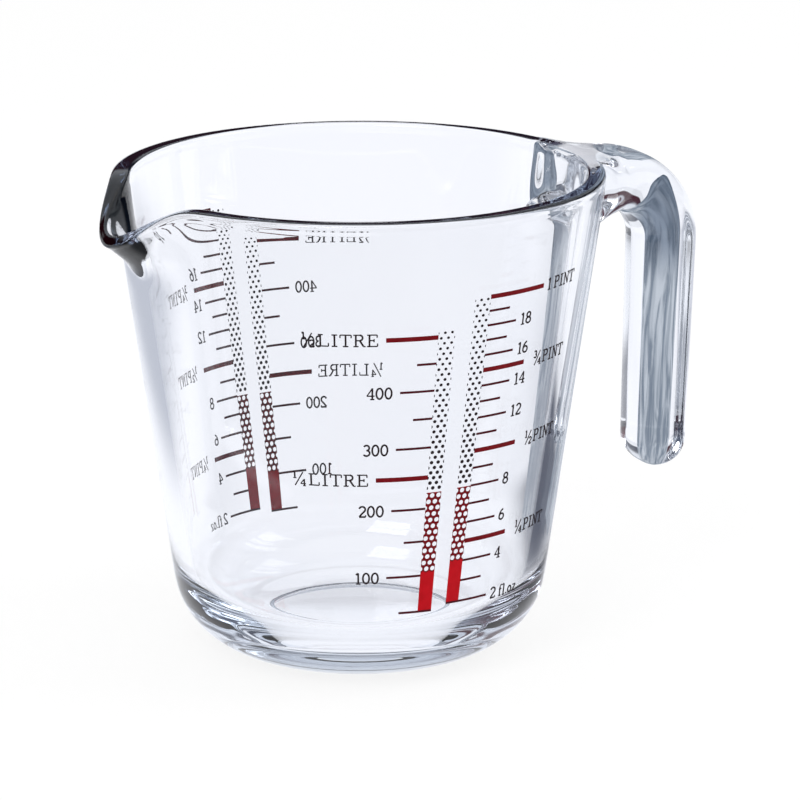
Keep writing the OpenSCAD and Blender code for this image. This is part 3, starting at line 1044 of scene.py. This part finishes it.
def studio_world():
    """White for the camera and plain light for the object. Gloss and glass see a room: a horizon that is
    pale at the back, a dim wall above it, warm on the left and blue on the right, a ceiling that is lit
    at the back, and white overhead."""
    world = bpy.data.worlds.new("studio")
    bpy.context.scene.world = world
    world.use_nodes = True
    tree = world.node_tree
    tree.nodes.clear()
    out = tree.nodes.new("ShaderNodeOutputWorld")
    plain = tree.nodes.new("ShaderNodeBackground")
    plain.inputs["Color"].default_value = (*pure_white, 1)
    camera = tree.nodes.new("ShaderNodeLightPath").outputs["Is Camera Ray"]
    tree.links.new(combine(tree, "MAXIMUM", camera, room_light), plain.inputs["Strength"])
    way = tree.nodes.new("ShaderNodeTexCoord").outputs["Generated"]
    up = along(tree, way, studio_up)
    depth = along(tree, way, studio_back)
    side = rise(tree, along(tree, way, studio_right), left_to_right_edge)
    wall_tone = fade(tree, side, wall_left, wall_right)
    front_ceiling = fade(tree, side, front_ceiling_left, front_ceiling_right)
    ceiling = fade(tree, rise(tree, depth, ceiling_depth_edge), front_ceiling, back_ceiling)
    horizon = fade(tree, rise(tree, depth, horizon_depth_edge), front_horizon, back_horizon)
    colour = fade(tree, rise(tree, up, wall_foot_edge), horizon, wall_tone)
    colour = fade(tree, rise(tree, up, ceiling_foot_edge), colour, ceiling)
    colour = fade(tree, rise(tree, up, overhead_edge), colour, pure_white)
    room = tree.nodes.new("ShaderNodeBackground")
    tree.links.new(colour, room.inputs["Color"])
    mix_shaders(tree, seen_in_glass(tree), plain, room, out)


def painted_floor_reflection(tree):
    """Painted reflections of the floor for gloss and glass: nearly white with a faint blue cast, with
    darker areas before the jug and round its front left, to the left behind it, to its right, and far away
    in front."""
    place = tree.nodes.new("ShaderNodeTexCoord").outputs["Object"]
    right = along(tree, place, studio_right)
    back = along(tree, place, studio_back)
    slant = along(tree, place, studio_front_left)
    distance = tree.nodes.new("ShaderNodeVectorMath")
    distance.operation = "LENGTH"
    tree.links.new(place, distance.inputs[0])
    round_front = rise(tree, slant, front_slant_edge)
    round_front = overlap(tree, round_front, rise(tree, back, front_slant_back_edge))
    front = combine(tree, "MAXIMUM", rise(tree, back, front_near_edge), round_front)
    front = overlap(tree, front, rise(tree, back, front_far_edge), rise(tree, right, front_right_edge))
    left = overlap(
        tree,
        rise(tree, right, left_near_edge),
        rise(tree, back, left_front_edge),
        rise(tree, back, left_back_edge),
    )
    beside = overlap(
        tree,
        rise(tree, right, right_near_edge),
        rise(tree, right, right_far_edge),
        rise(tree, back, right_back_edge),
    )
    right_tone = fade(tree, rise(tree, back, right_tone_edge), right_front_painted_reflection, right_back_painted_reflection)
    far = rise(tree, distance.outputs["Value"], far_near_edge)
    far = overlap(tree, far, rise(tree, back, far_back_edge))
    # Painted reflections: the floor's darker areas as gloss and glass see them
    tone = fade(tree, left, painted_floor_glow, left_painted_reflection)
    tone = fade(tree, beside, tone, right_tone)
    tone = fade(tree, front, tone, front_painted_reflection)
    return fade(tree, far, tone, far_painted_reflection)


def studio_floor():
    """A wide white floor. What the camera and the glass see of it is part plain tone and part lit
    surface, so that the jug's shadow stays on it. The plain tone that gloss and glass see is a painted
    reflection, and they see a larger share of it than the camera does."""
    material, out = bare_material("white_sweep")
    tree = material.node_tree
    lit = tree.nodes.new("ShaderNodeBsdfDiffuse")
    lit.inputs["Color"].default_value = (*floor_paint, 1)
    plain = tree.nodes.new("ShaderNodeEmission")
    plain.inputs["Strength"].default_value = floor_glow
    glass_ray = seen_in_glass(tree)
    camera = tree.nodes.new("ShaderNodeLightPath").outputs["Is Camera Ray"]
    # Gloss and glass see the floor's painted reflections, while the camera sees it white
    tree.links.new(fade(tree, glass_ray, pure_white, painted_floor_reflection(tree)), plain.inputs["Color"])
    in_view = combine(tree, "MULTIPLY", camera, floor_camera_share)
    in_glass = combine(tree, "MULTIPLY", glass_ray, floor_glass_share)
    mix_shaders(tree, combine(tree, "MAXIMUM", in_view, in_glass), lit, plain, out)
    corners = floor_half * np.array([[-1, -1], [1, -1], [1, 1], [-1, 1]])
    points = np.column_stack([corners, np.full(len(corners), -floor_gap)])
    floor = make_piece("floor", points, [[0, 1, 2, 3]], [material])


def painted_reflection_board():
    """A glowing board behind the handle, a painted reflection of upright streaks of blue-grey. The streaks
    are darker where the handle's bend looks at it, as painted shade. Only gloss and glass see it."""
    material, out = bare_material("painted_reflection_board")
    tree = material.node_tree
    place = tree.nodes.new("ShaderNodeTexCoord").outputs["Object"]
    stretch = tree.nodes.new("ShaderNodeMapping")
    stretch.inputs["Scale"].default_value = streaks_per_metre
    tree.links.new(place, stretch.inputs["Vector"])
    streaks = tree.nodes.new("ShaderNodeTexNoise")
    streaks.inputs["Scale"].default_value = 1
    streaks.inputs["Detail"].default_value = streak_detail
    streaks.inputs["Distortion"].default_value = streak_distortion
    tree.links.new(stretch.outputs["Vector"], streaks.inputs["Vector"])
    pattern = rise(tree, streaks.outputs["Fac"], streak_edge)
    up = along(tree, place, studio_up)
    # Painted shade: darker streaks where the handle's bend looks at the board
    bend_shade = overlap(tree, rise(tree, up, bend_shade_foot_edge), rise(tree, up, bend_shade_top_edge))
    tone = fade(tree, bend_shade, fade(tree, pattern, *pale_streaks), fade(tree, pattern, *bend_shade_streaks))
    glow = tree.nodes.new("ShaderNodeEmission")
    tree.links.new(tone, glow.inputs["Color"])
    tree.links.new(glow.outputs["Emission"], out.inputs["Surface"])
    corners = np.array([
        [board_left, board_back, 0],
        [board_right, board_back, 0],
        [board_right, board_back, board_h],
        [board_left, board_back, board_h],
    ])
    axes = np.array([studio_right, studio_back, studio_up])
    board = make_piece("painted_reflection_board", corners @ axes, [[0, 1, 2, 3]], [material])
    board.visible_camera = False
    board.visible_diffuse = False
    board.visible_shadow = False


def soft_lamp(name, place, aim, side, watts):
    """A square area lamp that looks at a point."""
    lamp = bpy.data.lights.new(name, "AREA")
    lamp.size = side
    lamp.energy = watts
    holder = bpy.data.objects.new(name, lamp)
    bpy.context.scene.collection.objects.link(holder)
    holder.location = place
    way = np.asarray(aim) - np.asarray(place)
    tilt = math.pi / 2 + math.atan2(way[2], math.hypot(way[0], way[1]))
    turn = math.atan2(way[1], way[0]) - math.pi / 2
    holder.rotation_euler = (tilt, 0, turn)


def photo_camera():
    """The camera at the photograph's viewing angle."""
    lens = bpy.data.cameras.new("camera")
    lens.lens = lens_l
    lens.sensor_width = sensor_w
    camera = bpy.data.objects.new("camera", lens)
    bpy.context.scene.collection.objects.link(camera)
    camera.location = [c * MM for c in camera_place]
    camera.rotation_euler = (math.radians(90 - camera_down), 0, math.radians(camera_turn))
    bpy.context.scene.camera = camera


bpy.context.scene.view_settings.view_transform = "Standard"
# Light runs round inside thick glass for many turns before it leaves
light_paths = bpy.context.scene.cycles
light_paths.max_bounces = 24
light_paths.glossy_bounces = 16
light_paths.transmission_bounces = 24

glass = glass_body(clear_glass())
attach(glass, "root")
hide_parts("vessel", "handle")

red = fired_enamel("red_enamel", (0.44, 0.001, 0.006), (0.52, 0.002, 0.009))
dark_red = fired_enamel("dark_red_enamel", (0.14, 0.001, 0.004), (0.19, 0.002, 0.007))
thin_red = fired_enamel("thin_mark_enamel", (0.06, 0.003, 0.008), (0.08, 0.005, 0.011))
fine = fired_enamel("fine_print_enamel", (0.018, 0.011, 0.014), (0.027, 0.018, 0.021))
scale_pieces("front", -math.pi / 2, red, dark_red, thin_red, fine)
scale_pieces("back", math.pi / 2 + back_scale_turn, red, dark_red, thin_red, fine)

studio_world()
studio_floor()
painted_reflection_board()
soft_lamp("key", key_place, lamp_aim, key_side, key_watts)
soft_lamp("fill", fill_place, lamp_aim, fill_side, fill_watts)
photo_camera()
